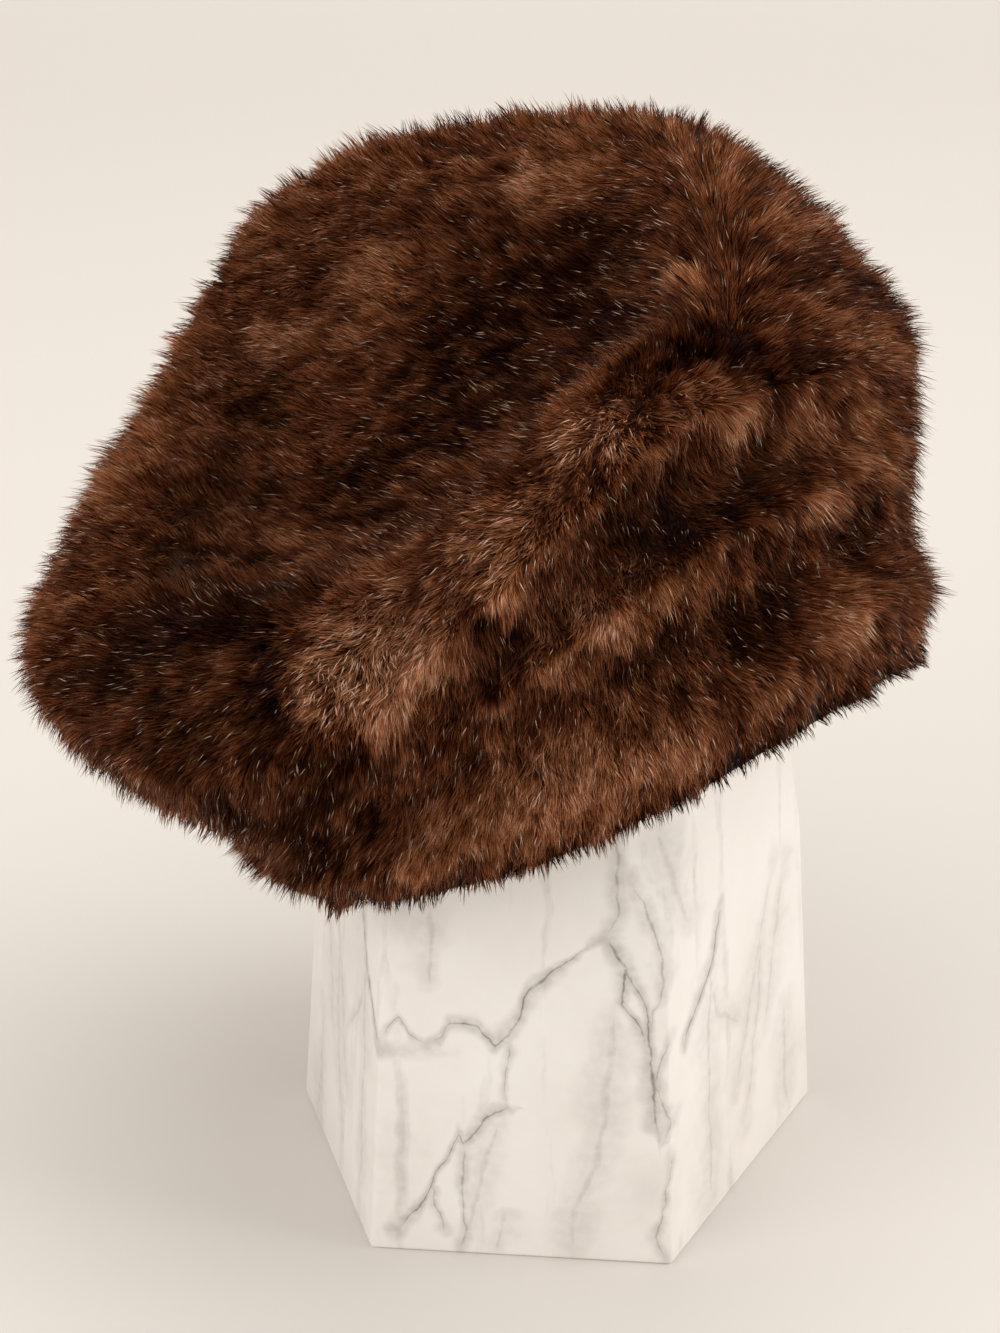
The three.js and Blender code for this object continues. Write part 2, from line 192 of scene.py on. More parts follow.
# Veins of the block, as (width in mm, strength, lines) for the bold, the middling and the faint.
# Each vein is a sheet through the stone, given as the line it cuts in a view along one axis: "xz"
# gives x over z, "zx" gives z over x and "yz" gives y over z, all in mm.
VEINS = [
    (1.3, 1.0, [
        ("yz", [(77, -59), (82, -57), (88, -51), (95, -43), (116, -34)]),
        ("zx", [(-42, 80), (-37, 82), (-34, 87), (-29, 88), (-25, 87), (-21, 80), (-15, 85),
                (-12, 90), (-8, 99), (0, 110), (7, 116), (14, 122)]),
        ("zx", [(-52, 8), (-45, 18), (-40, 29), (-34, 40), (-31, 47), (-29, 43), (-22, 54),
                (-17, 58), (-15, 57), (-13, 59)]),
        ("xz", [(83, 29), (93, 25), (98, 21), (111, 21), (115, 18), (122, 14)]),
        ("xz", [(45, 33), (57, 31), (77, 29), (96, 29), (102, 26), (115, 18)]),
    ]),
    (1.0, 0.72, [
        ("xz", [(122, 14), (130, 18), (144, 18), (159, 19), (190, 24)]),
        ("xz", [(83, 29), (92, 30), (100, 32), (106, 33), (117, 31), (126, 28), (142, 23)]),
        ("xz", [(60, -17), (72, -17), (81, -16)]),
        ("zx", [(-56, 83), (-50, 90), (-47, 83), (-42, 80)]),
        ("xz", [(2, 37), (11, 33), (26, 35), (38, 36), (45, 36)]),
        ("xz", [(1, -31), (10, -29), (16, -30), (33, -30), (43, -29)]),
        ("xz", [(7, -36), (13, -37), (20, -40), (28, -40)]),
        ("xz", [(45, 33), (56, 36), (69, 30), (88, 35)]),
    ]),
    (2.2, 0.38, [
        ("yz", [(61, -23), (74, -37), (89, -42)]),
        ("xz", [(3, 6), (19, 7), (38, 13), (58, 16), (77, 17), (99, 19)]),
        ("xz", [(7, -29), (35, -23), (54, -18)]),
        ("xz", [(2, -20), (18, -16)]),
        ("xz", [(118, 42), (135, 36), (147, 33), (156, 30)]),
        ("yz", [(37, -28), (48, -24), (85, -11), (112, 1)]),
        ("yz", [(2, -48), (37, -46), (67, -45), (98, -41), (108, -34)]),
        ("yz", [(4, 7), (20, 4), (52, 5)]),
        ("yz", [(48, -8), (67, -3), (106, 8)]),
        ("xz", [(100, -40), (130, -39)]),
        ("yz", [(21, -23), (63, -12), (89, -10)]),
    ]),
]


BLOCK_SPAN = 220                # mm along each axis that the veins' curves cover
BLOCK_START = {"x": 110, "y": 110, "z": 0}      # mm from the start of the span to the origin


def veined_marble():
    """Carrara marble, honed and waxed: cloudy warm white with grey veins that wander and fade."""
    material, tree, shader = new_material(
        "carrara_marble", Roughness=0.34, IOR=1.49, Subsurface_Weight=0.08,
        Subsurface_Radius=(0.004, 0.003, 0.002), Subsurface_Scale=1.0)
    place = add(tree, "TexCoord")
    # veins wander some 3 mm over every 25 mm, and 1 mm over every 5
    bent = (place, "Object")
    for size, sway in ((25, 3.0), (5, 1.0)):
        drift = add(tree, "TexNoise", {"Vector": (place, "Object"), "Scale": 1000 / size,
                                       "Detail": 2})
        centred = add(tree, "VectorMath", {0: (drift, "Color"), 1: (0.5, 0.5, 0.5)},
                      operation="SUBTRACT")
        bent = (add(tree, "VectorMath", {0: (centred, 0), 1: (2 * sway / 1000,) * 3, 2: bent},
                    operation="MULTIPLY_ADD"), 0)
    # the axes run from 0 to 1 over the block, as its curves do
    spans = add(tree, "VectorMath", {0: bent, 1: (1000 / BLOCK_SPAN,) * 3,
                                     2: tuple(v / BLOCK_SPAN for v in BLOCK_START.values())},
                operation="MULTIPLY_ADD")
    axes = add(tree, "SeparateXYZ", {0: (spans, 0)})
    patches = add(tree, "TexNoise", {"Vector": (place, "Object"), "Scale": 45, "Detail": 2})
    marks = None
    for width, strength, lines in VEINS:
        nearest = None
        for (across, along), points in lines:
            spots = [((a + BLOCK_START[along]) / BLOCK_SPAN, (b + BLOCK_START[across]) / BLOCK_SPAN)
                     for a, b in points]
            line = add(tree, "FloatCurve", {"Value": (axes, along.upper())})
            line.mapping.extend = "HORIZONTAL"
            for k, spot in enumerate(spots):
                point = (line.mapping.curves[0].points[k] if k < 2 else
                         line.mapping.curves[0].points.new(*spot))
                point.location, point.handle_type = spot, "VECTOR"
            line.mapping.update()
            gap = add(tree, "Math", {0: (axes, across.upper()), 1: (line, 0)},
                      operation="SUBTRACT")
            size = add(tree, "Math", {0: (gap, 0)}, operation="ABSOLUTE")
            # the vein thins out towards both ends: a high power of the way from its middle
            half = (spots[-1][0] - spots[0][0]) / 2
            way = add(tree, "Math", {0: (axes, along.upper()), 1: 1 / half,
                                     2: -(spots[0][0] + half) / half}, operation="MULTIPLY_ADD")
            steep = add(tree, "Math", {0: (way, 0), 1: 8.0}, operation="POWER")
            size = add(tree, "Math", {0: (steep, 0), 1: width / BLOCK_SPAN, 2: (size, 0)},
                       operation="MULTIPLY_ADD")
            nearest = (size, 0) if nearest is None else (
                add(tree, "Math", {0: nearest, 1: (size, 0)}, operation="MINIMUM"), 0)
        breadth = add(tree, "MapRange", {"Value": (patches, "Fac"), "From Min": 0.3,
                                         "From Max": 0.7, "To Min": 0.25 * width / BLOCK_SPAN,
                                         "To Max": 1.5 * width / BLOCK_SPAN})
        near = add(tree, "Math", {0: nearest, 1: (breadth, 0)}, operation="DIVIDE")
        # a sharp core in a soft grey halo, each with its share of the strength and its spread
        # in breadths of the vein
        for share, spread in ((0.85, 1.2), (0.44, 5.5)):
            fade = add(tree, "MapRange", {"Value": (near, 0), "From Min": 0.0, "From Max": spread,
                                          "To Min": strength * share, "To Max": 0.0},
                       interpolation_type="SMOOTHSTEP")
            marks = (fade, 0) if marks is None else (
                add(tree, "Math", {0: marks, 1: (fade, 0)}, operation="MAXIMUM"), 0)
    cloud = add(tree, "TexNoise", {"Vector": bent, "Scale": 14, "Detail": 5, "Roughness": 0.6})
    ground = add(tree, "ValToRGB", {"Fac": (cloud, "Fac")},
                 [(0.35, "#fefaf5"), (0.55, "#f8f3ed"), (0.75, "#e6e0d9")])
    # a bundle of faint fine streaks runs steeply down through the whole stone
    turned = add(tree, "Mapping", {"Vector": bent, "Rotation": (0.1, 0.22, 0.0),
                                   "Scale": (110.0, 110.0, 7.0)})
    grain = add(tree, "TexNoise", {"Vector": (turned, 0), "Scale": 1.0, "Detail": 3})
    streak = add(tree, "MapRange", {"Value": (grain, "Fac"), "From Min": 0.58, "From Max": 0.76,
                                    "To Min": 0.0, "To Max": 0.34})
    marks = (add(tree, "Math", {0: marks, 1: (streak, 0)}, operation="MAXIMUM"), 0)
    # slate grey specks sit inside the veins only
    specks = add(tree, "TexNoise", {"Vector": (place, "Object"), "Scale": 260, "Detail": 3})
    broken = add(tree, "MapRange", {"Value": (specks, "Fac"), "From Min": 0.35, "From Max": 0.6,
                                    "To Min": 0.55, "To Max": 1.0})
    depth = add(tree, "Math", {0: marks, 1: (broken, 0)}, operation="MULTIPLY")
    colour = add(tree, "Mix", {0: (depth, 0), 6: (ground, "Color"), 7: "#6e6560"},
                 data_type="RGBA")
    tree.links.new(colour.outputs[2], shader.inputs["Base Color"])
    return material


# ---------------------------------------------------------------- the hat's form

MM = 0.001
HAT_PLACE = Vector((0.007, 0.0, 0.170))
HAT_TURN = Euler((math.radians(-6.1), math.radians(-23.4), 0)).to_matrix()
HAT_TWIST = Euler((0, 0, math.radians(9.5))).to_matrix()

# Sections through the hat's own axis every 30 degrees from the right-hand side, 90 at the back.
# Each is a row of (radius, height) in mm: dish, crest, rim, tuck, fold, seam, roll and hem.
SECTIONS = np.array([
    [(58, 118), (104, 140), (143, 76), (138, 46), (128, 24), (114, 6), (120, -12), (106, -32)],
    [(60, 128), (108, 158), (145, 100), (142, 62), (130, 32), (112, 10), (119, -10), (106, -30)],
    [(62, 142), (107, 171), (145, 118), (143, 74), (131, 38), (108, 12), (118, -8), (106, -30)],
    [(62, 142), (105, 177), (146, 124), (144, 78), (132, 40), (106, 14), (118, -6), (106, -28)],
    [(62, 129), (107, 161), (147, 112), (145, 72), (132, 38), (106, 16), (118, -4), (106, -22)],
    [(62, 108), (108, 133), (149, 93), (146, 62), (132, 36), (106, 18), (118, 0), (106, -15)],
    [(60, 92), (109, 110), (151, 88), (148, 58), (132, 34), (106, 20), (118, 5), (106, -6)],
    [(58, 88), (108, 98), (149, 72), (142, 46), (128, 32), (106, 24), (118, 8), (106, -8)],
    [(56, 90), (104, 96), (134, 66), (128, 50), (122, 42), (106, 34), (118, 14), (106, -5)],
    [(56, 96), (98, 108), (124, 90), (114, 72), (118, 58), (104, 45), (117, 20), (106, -3)],
    [(56, 104), (96, 122), (120, 104), (111, 82), (117, 64), (104, 47), (117, 20), (106, -4)],
    [(56, 110), (100, 122), (130, 90), (120, 66), (119, 50), (105, 32), (117, 14), (106, -15)],
], float)
SEAM, HEM = 5, 7
CROWN_MIDDLE = 99.0
CROWN_LAST = 6.0                # ring numbers run from 0 in the middle to 6 at the seam
LEATHER_RADIUS = 102.0
LEATHER_INSET = 1.5             # room between the crown's wool and its leather
LEATHER_GAP = 0.8               # from the seam to each leather's edge
HEM_DEPTH = 7                   # from the fur's hem up to the leather's lower edge
LEATHER, WOOL = 2.5, 1.2        # thickness of the walls
# The crown's leather under the first six rings: how deep, and which way out and up
LEATHER_RINGS = [(13, 0, -1), (13, 0.2, -0.98), (13, -0.5, -0.87), (14, -1, -0.1),
                 (12, -1, 0.1), (11, -0.95, 0.3)]

# Folds of the soft crown: degrees round, ring, width in degrees, span in rings, rise in mm
FOLDS = [
    (190, 2.0, 16, 1.1, -11),   # valley across the top to the left
    (323, 2.4, 10, 0.5, -6),    # where the hair parts
    (236, 2.6, 9, 0.8, 5),      # pucker at the front left
    (254, 2.9, 8, 0.9, -6),     # dent beside it
    (292, 2.5, 10, 0.7, 4),     # ridge over the front
    (316, 3.4, 11, 0.9, -5),    # hollow below the parting
    (172, 3.0, 24, 1.2, 6),     # the longer fur of the rim on the left
    (132, 2.7, 18, 1.0, -6),    # shorter fur at the back left
    (106, 2.6, 10, 0.8, 4),     # a lock beside it
    (65, 2.6, 30, 1.0, -3),     # and at the back
    (8, 2.2, 18, 0.7, 6),       # fuller fur at the back right
    (346, 3.1, 9, 0.6, -5),     # and shorter on the right of it
    (200, 3.3, 12, 0.8, -4),    # shorter fur at the lower left
    (206, 3.9, 12, 0.7, -4),    # the crown tucks in above the band's left end
]
PARTING = np.array([91.0, -63.0, 108.0])        # the whorl that the hair runs away from, in mm
SEAM_FILL, LEFT_FILL = 6.0, 8.0                 # fur over the seam's groove, and more at the left
DEGREES = np.arange(0, 360, 0.5)
CROWN_PLACES = np.linspace(0, CROWN_LAST, 241)
BAND_PLACES = np.linspace(0, 2, 61)


def curve(a, b, c, d, f):
    """Smooth curve through four values, at share f of the way from b to c."""
    return b + 0.5 * f * (c - a + f * (2 * a - 5 * b + 4 * c - d + f * (3 * (b - c) + d - a)))


def ring_at(k, degrees):
    """(radius, height) of ring k of the table at each of the angles."""
    place = (degrees % 360) / 30
    i = np.floor(place).astype(int)
    pick = [SECTIONS[(i + n) % len(SECTIONS), k] for n in (-1, 0, 1, 2)]
    return curve(*pick, (place - i)[:, None])


def sheet_points(rings, before, places, degrees):
    """A grid of points in mm in the hat's frame: a row for each place along the rings."""
    turn = np.radians(degrees)
    rows = []
    for place in places:
        i = min(int(place), len(rings) - 2)
        a = rings[i - 1] if i else before
        d = rings[i + 2] if i + 2 < len(rings) else 2 * rings[i + 1] - rings[i]
        r, z = curve(a, rings[i], rings[i + 1], d, place - i).T
        rows.append(np.stack([r * np.cos(turn), r * np.sin(turn), z], -1))
    return np.array(rows)


def unit(v):
    return v / np.maximum(np.linalg.norm(v, axis=-1, keepdims=True), 1e-9)


def outward(grid):
    """Normals of a grid of points that closes round the hat."""
    along = np.gradient(grid, axis=0)
    around = np.roll(grid, -1, 1) - np.roll(grid, 1, 1)
    normals = unit(np.cross(along, around))
    flat = np.linalg.norm(around, axis=-1).max(1) < 1e-3
    normals[flat] = unit(normals[1].mean(0))
    return normals


def smooth(low, high, x):
    t = np.clip((x - low) / (high - low), 0, 1)
    return t * t * (3 - 2 * t)


def hair_lay(points, normals):
    """Which way the hair lies: away from the parting, and more and more down where the form is
    steep. Over the near rim it turns to the front, and everywhere it sinks by its own weight."""
    away = unit(points - PARTING)
    steep = smooth(0.55, 1, np.hypot(normals[..., 0], normals[..., 1]))
    away[..., 2] -= 0.25 + 1.1 * steep
    away[..., 1] -= 0.7 * smooth(30, 95, -points[..., 1])
    away += 0.3 * (np.array([0, 0, -1]) @ np.array(HAT_TURN))
    away -= (away * normals).sum(-1, keepdims=True) * normals
    return unit(away)


def to_world(points):
    """Hat frame in mm to the row frame in metres."""
    turn = np.array(HAT_TURN) @ np.array(HAT_TWIST)
    return points @ turn.T * MM + np.array(HAT_PLACE)


class Waves:
    """Soft random relief: a sum of plane waves with wavelengths near a real size in mm."""

    def __init__(self, seed, size, count=36):
        rng = np.random.default_rng(seed)
        way = unit(rng.normal(size=(count, 3)))
        self.k = way * (2 * math.pi / (size * rng.uniform(0.7, 1.5, (count, 1))))
        self.phase = rng.uniform(0, 2 * math.pi, count)

    def at(self, points):
        return np.sin(points @ self.k.T + self.phase).sum(-1) * math.sqrt(2 / len(self.phase))

    def streaks(self, points, flow, reach):
        """The same relief drawn out along the hair's lay over some length in mm."""
        steps = np.linspace(-0.5, 0.5, 5) * reach
        return sum(self.at(points + s * flow) for s in steps) / math.sqrt(len(steps))


# ---------------------------------------------------------------- tufts

# Tufts that stand out of the crown at the front: degrees round, ring, length and width in mm,
# rise in mm and how light the opened fur looks, from 0 to 1
CROWN_TUFTS = [
    (242, 2.50, 30, 20, 5.0, 0.75), (248, 3.05, 24, 16, 4.0, 0.60), (256, 2.75, 26, 16, 3.5, 0.35),
    (269, 2.85, 26, 14, 5.0, 0.60), (269, 2.25, 26, 16, 3.5, 0.35), (288, 2.40, 20, 8, 4.0, 0.75),
    (292, 2.60, 20, 8, 4.0, 0.75), (312, 3.35, 22, 18, 4.0, 0.60), (320, 4.95, 20, 14, 3.0, 0.55),
    (335, 4.10, 24, 16, 3.0, 0.35), (270, 4.70, 24, 18, 3.0, 0.25), (282, 4.80, 24, 18, 3.0, 0.30),
    (291, 5.10, 22, 16, 2.5, 0.25), (40, 1.40, 30, 26, 2.0, 0.35), (90, 1.00, 28, 20, 2.0, 0.45),
    (120, 1.20, 28, 24, 2.0, 0.50), (163, 1.90, 30, 24, 1.5, 0.20), (213, 1.60, 30, 20, 1.5, 0.15),
]
BAND_TUFTS = [
    (315, 0.77, 20, 9, 3.0, 0.65), (322, 1.00, 20, 9, 3.0, 0.70), (257, 0.70, 26, 22, 2.0, 0.35),
    (282, 0.95, 26, 22, 2.0, 0.40), (236, 0.80, 24, 18, 2.0, 0.25), (300, 0.90, 22, 18, 1.5, 0.20),
]
LOOSE_TUFTS = 60                # smaller ones all over the crown, and a third as many on the band

# Broad patches of the fur's own closed and open tone and of painted shading: painted shade in the
# hollows, painted light on the front ridges and painted sheen along the rim. Each is degrees round,
# ring, spread in mm and how much lighter
CROWN_TONE_AND_PAINTED_SHADING = [
    (24, 0.75, 28, -0.30), (8, 1.25, 24, -0.26), (341, 1.15, 20, -0.40), (76, 0.25, 26, -0.22),
    (158, 0.55, 24, -0.20), (218, 1.60, 26, -0.36), (203, 1.95, 26, -0.36), (196, 2.60, 28, -0.20),
    (284, 3.50, 20, -0.22), (297, 4.35, 18, -0.08), (135, 1.20, 18, -0.10), (318, 2.15, 16, -0.12),
    (222, 4.50, 26, -0.38), (242, 3.30, 14, -0.46), (232, 4.10, 16, -0.14), (334, 5.60, 16, -0.26),
    (246, 2.25, 17, 0.50), (244, 2.75, 17, 0.60), (256, 3.30, 18, 0.38), (262, 2.25, 18, 0.24),
    (273, 2.70, 18, 0.46), (288, 2.70, 18, 0.28), (291, 2.25, 16, 0.28), (303, 2.90, 16, 0.42),
    (278, 4.55, 16, 0.42), (88, 1.15, 24, 0.08), (103, 0.90, 20, 0.12), (121, 0.60, 16, 0.10),
    (42, 1.45, 26, 0.16), (140, 1.60, 22, 0.26), (155, 1.75, 20, 0.24), (176, 1.15, 18, 0.14),
    (334, 4.60, 20, 0.12), (15, 1.80, 24, 0.06), (212, 0.78, 15, -0.24), (230, 2.02, 15, -0.30),
    (233, 2.55, 14, -0.44), (268, 3.60, 14, -0.44), (331, 0.55, 16, -0.14), (84, 1.55, 20, 0.15),
    (107, 1.52, 20, 0.18), (178, 1.95, 18, 0.12), (328, 2.60, 14, -0.14), (301, 3.70, 12, -0.14),
]
BAND_TONE_AND_PAINTED_SHADING = [
    (322, 0.80, 20, 0.24), (270, 0.80, 24, 0.40), (256, 0.90, 24, 0.12), (243, 0.60, 20, 0.30),
    (287, 0.60, 18, 0.12), (305, 0.35, 18, -0.10), (278, 0.10, 14, -0.14), (293, 0.15, 14, -0.12),
    (226, 0.20, 22, -0.24), (250, 0.05, 14, -0.10),
]


def tuft_list(named, loose, last, seed):
    """The named tufts, and loose ones anywhere: (degrees, ring, length, width, rise, light)."""
    rng = np.random.default_rng(seed)
    extra = [(rng.uniform(0, 360), rng.uniform(0.4, last - 0.3), rng.uniform(18, 30),
              rng.uniform(10, 20), rng.uniform(0.5, 1.8), rng.uniform(-0.12, 0.22))
             for _ in range(loose)]
    return list(named) + extra


def nearest_cell(places, at, ring):
    """Row and column of a grid that lie nearest to an angle in degrees and a place in rings."""
    return int(np.argmin(abs(places - ring))), int(round(at / DEGREES[1])) % len(DEGREES)


def raise_tufts(points, normals, flow, tufts, places):
    """Relief in mm and lightness of the tufts over a grid: each rises along the hair's lay and
    ends in a step, as a lock that overlaps what lies below it."""
    rise = np.zeros(points.shape[:2])
    light = np.zeros(points.shape[:2])
    for at, ring, length, width, height, tone in tufts:
        i, j = nearest_cell(places, at, ring)
        centre, along, normal = points[i, j], flow[i, j], normals[i, j]
        side = np.cross(along, normal)
        gap = points - centre
        u = gap @ along / (length / 2)
        v = gap @ side / (width / 2)
        wedge = smooth(-1.1, 0.5, u) * (1 - smooth(0.6, 1.2, u + 0.25 * v * v))
        profile = wedge * np.exp(-(v ** 2)) * (abs(gap @ normal) < 25)      # not the far wall
        rise += height * profile
        light += tone * profile
    return rise, light


def shade(points, patches, places):
    """How much lighter a grid of the fur is for the broad patches: its own tone, with painted shade
    and light.
    """
    total = np.zeros(points.shape[:2])
    for at, ring, spread, amount in patches:
        centre = points[nearest_cell(places, at, ring)]
        total += amount * np.exp(-((points - centre) ** 2).sum(-1) / spread ** 2)
    return total


def make_skin(grid, tufts, patches, places, rise):
    """The outer form of the fur over a grid, with all that the hairs need to grow from it. The
    tufts lift the hairs only, and the wool under them stays even."""
    even = outward(grid)
    grid = grid + even * rise[..., None]
    normals = outward(grid)
    flow = hair_lay(grid, normals)
    relief, light = raise_tufts(grid, normals, flow, tufts, places)
    relief += 0.6 * Waves(5, 18).streaks(grid, flow, 8)     # soft waves 18 mm wide
    # the broad patches put the fur's tone and painted shade, light and sheen into its lightness
    light += shade(grid, patches, places)
    return {"points": grid, "even": even, "normals": normals, "flow": flow, "light": light,
            "relief": relief}


def fold_relief(degrees, places):
    """How far the folds lift a grid, in mm."""
    ring, round_ = np.meshgrid(places, degrees, indexing="ij")
    total = np.zeros(ring.shape)
    for at, fold_ring, width, span, rise in FOLDS:
        turn = (round_ - at + 540) % 360 - 180
        total += rise * np.exp(-(turn / width) ** 2 - ((ring - fold_ring) / span) ** 2)
    return total


def seam_fill(places, seam, span):
    """The long fur on both sides fills the groove over the seam, most of all on the left."""
    fill = SEAM_FILL + LEFT_FILL * np.exp(-((DEGREES - 212) / 18) ** 2)
    return np.exp(-((places - seam) / span) ** 2)[:, None] * fill


middle = np.tile([0.0, CROWN_MIDDLE], (len(DEGREES), 1))
across = ring_at(0, DEGREES + 180) * [-1, 1]
crown_rings = [middle] + [ring_at(k, DEGREES) for k in range(SEAM + 1)]
crown = make_skin(sheet_points(crown_rings, across, CROWN_PLACES, DEGREES),
                  tuft_list(CROWN_TUFTS, LOOSE_TUFTS, CROWN_LAST, 3), CROWN_TONE_AND_PAINTED_SHADING, CROWN_PLACES,
                  fold_relief(DEGREES, CROWN_PLACES) + seam_fill(CROWN_PLACES, CROWN_LAST, 0.5))
band_rings = [ring_at(k, DEGREES) for k in (SEAM, SEAM + 1, HEM)]
band = make_skin(sheet_points(band_rings, band_rings[0] + [-8, 2], BAND_PLACES, DEGREES),
                 tuft_list(BAND_TUFTS, LOOSE_TUFTS // 3, 2.0, 4), BAND_TONE_AND_PAINTED_SHADING, BAND_PLACES,
                 seam_fill(BAND_PLACES, 0, 0.5))

# How deep the wool lies under the outer form, in mm: less towards the seam and the hem
UNDER_DEPTH, SEAM_DEPTH = 6.8, 4.5
crown_depth = SEAM_DEPTH + (UNDER_DEPTH - SEAM_DEPTH) * (1 - smooth(5.0, 6.0, CROWN_PLACES))
band_depth = np.interp(BAND_PLACES, [0, 0.5, 1.3, 2], [5.0, 7.5, 7.0, 2.2])
for skin, depth in ((crown, crown_depth), (band, band_depth)):
    skin["depth"] = np.repeat(depth[:, None], len(DEGREES), 1)
    skin["length"] = np.ones(skin["depth"].shape)
# the band's hem has a short thick fringe, darker than the rest
crown["denser"] = np.ones(len(CROWN_PLACES))
at_hem = smooth(1.7, 1.92, BAND_PLACES)
band["denser"] = 1 + 2.2 * at_hem
band["length"] -= 0.45 * at_hem[:, None]
band["light"] -= 0.20 * at_hem[:, None]


# ---------------------------------------------------------------- mesh pieces


def mesh_piece(name, points, corners, starts, material):
    """A mesh piece from world points and polygons given by their corners and first corners."""
    mesh = bpy.data.meshes.new(name)
    mesh.vertices.add(len(points))
    mesh.vertices.foreach_set("co", points.astype(np.float32).ravel())
    mesh.loops.add(len(corners))
    mesh.loops.foreach_set("vertex_index", corners.astype(np.int32))
    mesh.polygons.add(len(starts))
    mesh.polygons.foreach_set("loop_start", starts.astype(np.int32))
    mesh.update(calc_edges=True)
    mesh.polygons.foreach_set("use_smooth", np.ones(len(starts), bool))
    mesh.materials.append(material)
    piece = bpy.data.objects.new(name, mesh)
    scene.collection.objects.link(piece)
    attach(piece, "root")
    return piece


def set_value(piece, name, values):
    """A number for each point of a piece, which its material reads by name."""
    layer = piece.data.attributes.new(name, "FLOAT", "POINT")
    layer.data.foreach_set("value", values.astype(np.float32))


def bake_map(piece, uv):
    """A UV map named OFBake, to bake the piece's colours through."""
    layer = piece.data.uv_layers.new(name="OFBake")
    layer.data.foreach_set("uv", uv.astype(np.float32).ravel())


def wall_piece(name, outer, inner, material, value, pole):
    """A wall between two grids of world points that close round the hat, closed at its rims. With
    a pole the first row of each grid is one point. The value is a name and a number for each
    point of a grid, or None."""
    rows, cols = outer.shape[:2]
    points = np.concatenate([outer.reshape(-1, 3), inner.reshape(-1, 3)])
    front = np.arange(rows * cols).reshape(rows, cols)
    back = front + rows * cols

    def strip(a, b):
        return np.stack([a, b, np.roll(b, -1, -1), np.roll(a, -1, -1)], -1).reshape(-1, 4)

    faces = [strip(front[:-1], front[1:]), strip(back[1:], back[:-1]), strip(front[-1], back[-1])]
    if not pole:
        faces.append(strip(back[0], front[0]))
    faces = np.concatenate(faces)
    piece = mesh_piece(name, points, faces.ravel(), np.arange(len(faces)) * 4, material)
    if value:
        set_value(piece, value[0], np.tile(value[1].ravel(), 2))
    if pole:
        bpy.ops.object.select_all(action="DESELECT")
        bpy.context.view_layer.objects.active = piece
        piece.select_set(True)
        bpy.ops.object.mode_set(mode="EDIT")
        bpy.ops.mesh.select_all(action="SELECT")
        bpy.ops.mesh.remove_doubles(threshold=1e-6)
        bpy.ops.object.mode_set(mode="OBJECT")
    return piece


def under_piece(name, skin, step, material, node, pole):
    """The dense wool: a thin wall under the outer form, on every so many rows and columns."""
    points, normals, depth, light = (skin[k][::step[0], ::step[1]]
                                     for k in ("points", "even", "depth", "light"))
    outer = points - normals * depth[..., None]
    inner = points - normals * (depth[..., None] + WOOL)
    if pole:
        outer[0], inner[0] = outer[0, 0], inner[0, 0]
    # the wool's tone follows the fur's lightness, painted shading included
    piece = wall_piece(name, to_world(outer), to_world(inner), material,
                       ("tone", np.clip(0.25 + light, 0, 1)), pole)
    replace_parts(piece, node)


# The kinds of hair: places of its points from root to tip, reach along its lay and lift over the
# outer form in mm, width at the root in mm, how it bunches, as (one bunch for each of so many
# hairs, pull, power), how light it is, and the share of hairs with a painted glint. Real hair is a
# fifth as wide, so each ribbon stands for a few.
DOWN = {"steps": np.array([0.0, 1.0]), "reach": (2.0, 4.8), "lift": (-3.4, 0.3), "width": 0.27,
        "bunches": ((12, 0.30, 2.0), (90, 0.16, 1.5)), "tone": 0.41, "pale": 0.0}
GUARD = {"steps": np.array([0.0, 0.55, 1.0]), "reach": (3.4, 6.6), "lift": (-0.8, 4.2),
         "width": 0.34, "bunches": ((6, 0.65, 1.3),), "tone": 0.14, "pale": 0.11}


# How the hairs of both kinds vary
SWIRL, STRAY = 0.22, 0.32       # radians that the lay turns, over 11 mm and hair by hair
TUFTING = 0.5                   # mm that small tufts, 9 mm wide, lift the hair
OPEN_REACH = 0.6                # how much farther the hair of light, open fur reaches
CLIMB = 1.3                     # how early a hair climbs, as a power
ROLL = 0.95                     # radians that a ribbon rolls out of the surface
TAPER = 0.3                     # share of its width that a ribbon loses before its tip
GLINT_WIDTH = 0.62              # width of a hair with a painted glint beside the others


def roots_on(points, denser, count, rng):
    """Cells of a grid of points and places in them, spread by area and by how dense each row is."""
    a, b = points[:-1], points[1:]
    c, d = np.roll(a, -1, 1), np.roll(b, -1, 1)
    area = np.linalg.norm(np.cross(b - a, d - a), axis=-1)
    area += np.linalg.norm(np.cross(d - a, c - a), axis=-1)
    area *= denser[:-1, None]
    share = np.cumsum(area.ravel())
    cell = np.searchsorted(share, (np.arange(count) + rng.random(count)) / count * share[-1])
    i, j = np.unravel_index(np.minimum(cell, area.size - 1), area.shape)
    return i, j, rng.random((count, 1)), rng.random((count, 1))


def bunch(spine, root, steps, spacing, pull, power, rng):
    """Draws the tips of neighbouring hairs together, about one bunch for each spacing hairs. Each
    tip moves at most some 6 mm."""
    heads = rng.permutation(len(root))[::spacing]
    tree = kdtree.KDTree(len(heads))
    for n, head in enumerate(heads):
        tree.insert(root[head], n)
    tree.balance()
    nearest = heads[[tree.find(p)[1] for p in root]]
    draw = pull * rng.uniform(0.5, 1.2, len(root))[nearest]
    gap = spine[nearest, -1] - spine[:, -1]
    far = np.linalg.norm(gap, axis=-1, keepdims=True)
    gap *= np.minimum(1, 6 / np.maximum(far, 1e-6))
    return spine + gap[:, None] * draw[:, None, None] * steps[None, :, None] ** power


